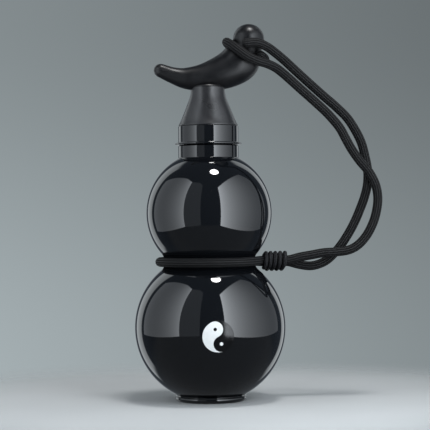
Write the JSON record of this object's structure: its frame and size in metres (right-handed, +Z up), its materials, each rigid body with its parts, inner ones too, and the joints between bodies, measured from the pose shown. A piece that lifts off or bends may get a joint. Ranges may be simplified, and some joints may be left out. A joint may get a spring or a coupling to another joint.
{
  "type": "gourd water bottle",
  "caption": "Double-bulb gourd flask with vacuum walls, horn-shaped screw lid and a carrying cord from waist to lid.",
  "frame": {"origin": "centre of the foot ring's resting face, on the bottle's axis", "axes": "+Z up along the bottle's axis; the emblem faces -Y; the lid's stem lies in the XZ plane with its head towards +X, where the cord hangs"},
  "size_m": [0.1879, 0.1134, 0.282],
  "materials": {
    "gloss_black": "high gloss",
    "brushed_steel": "satin",
    "seal_metal": "matte",
    "white_enamel": "gloss",
    "black_enamel": "gloss",
    "matte_black": "soft matte",
    "lid_liner": "satin",
    "silicone": "matte",
    "foam": "matte",
    "black_cord": "braided"
  },
  "bodies": {
    "bottle": {"outer_shell": "gloss_black", "inner_flask": "brushed_steel", "base_plate": "gloss_black", "foot_ring": "gloss_black", "vacuum_seal": "seal_metal", "getter": "seal_metal", "emblem_light": "white_enamel", "emblem_dark": "black_enamel"},
    "strap": {"waist_loop": "black_cord", "whipping": "black_cord", "strand_front": "black_cord", "strand_back": "black_cord"},
    "lid": {"lid_handle": "matte_black", "lid_sleeve": "gloss_black", "lid_insert": "lid_liner", "lid_gasket": "silicone", "plug_cover": "lid_liner", "foam_core": "foam", "lid_screws": "brushed_steel", "hitch_turn": "black_cord", "hitch_arch": "black_cord"}
  },
  "joints": [
    {"name": "lid_turn", "type": "hinge", "parent": "bottle", "child": "strap", "pos_m": [0, 0, 0.1], "axis": [0, 0, 1], "range_deg": [0, 1080]},
    {"name": "lid_lift", "type": "slide", "parent": "strap", "child": "lid", "axis": [0, 0, 1], "range_m": [0, 0.015], "deforming": ["strand_front", "strand_back"]}
  ],
  "couplings": [
    {"joint": "lid_lift", "follows": "lid_turn", "m_per_rad": 0.000795}
  ]
}
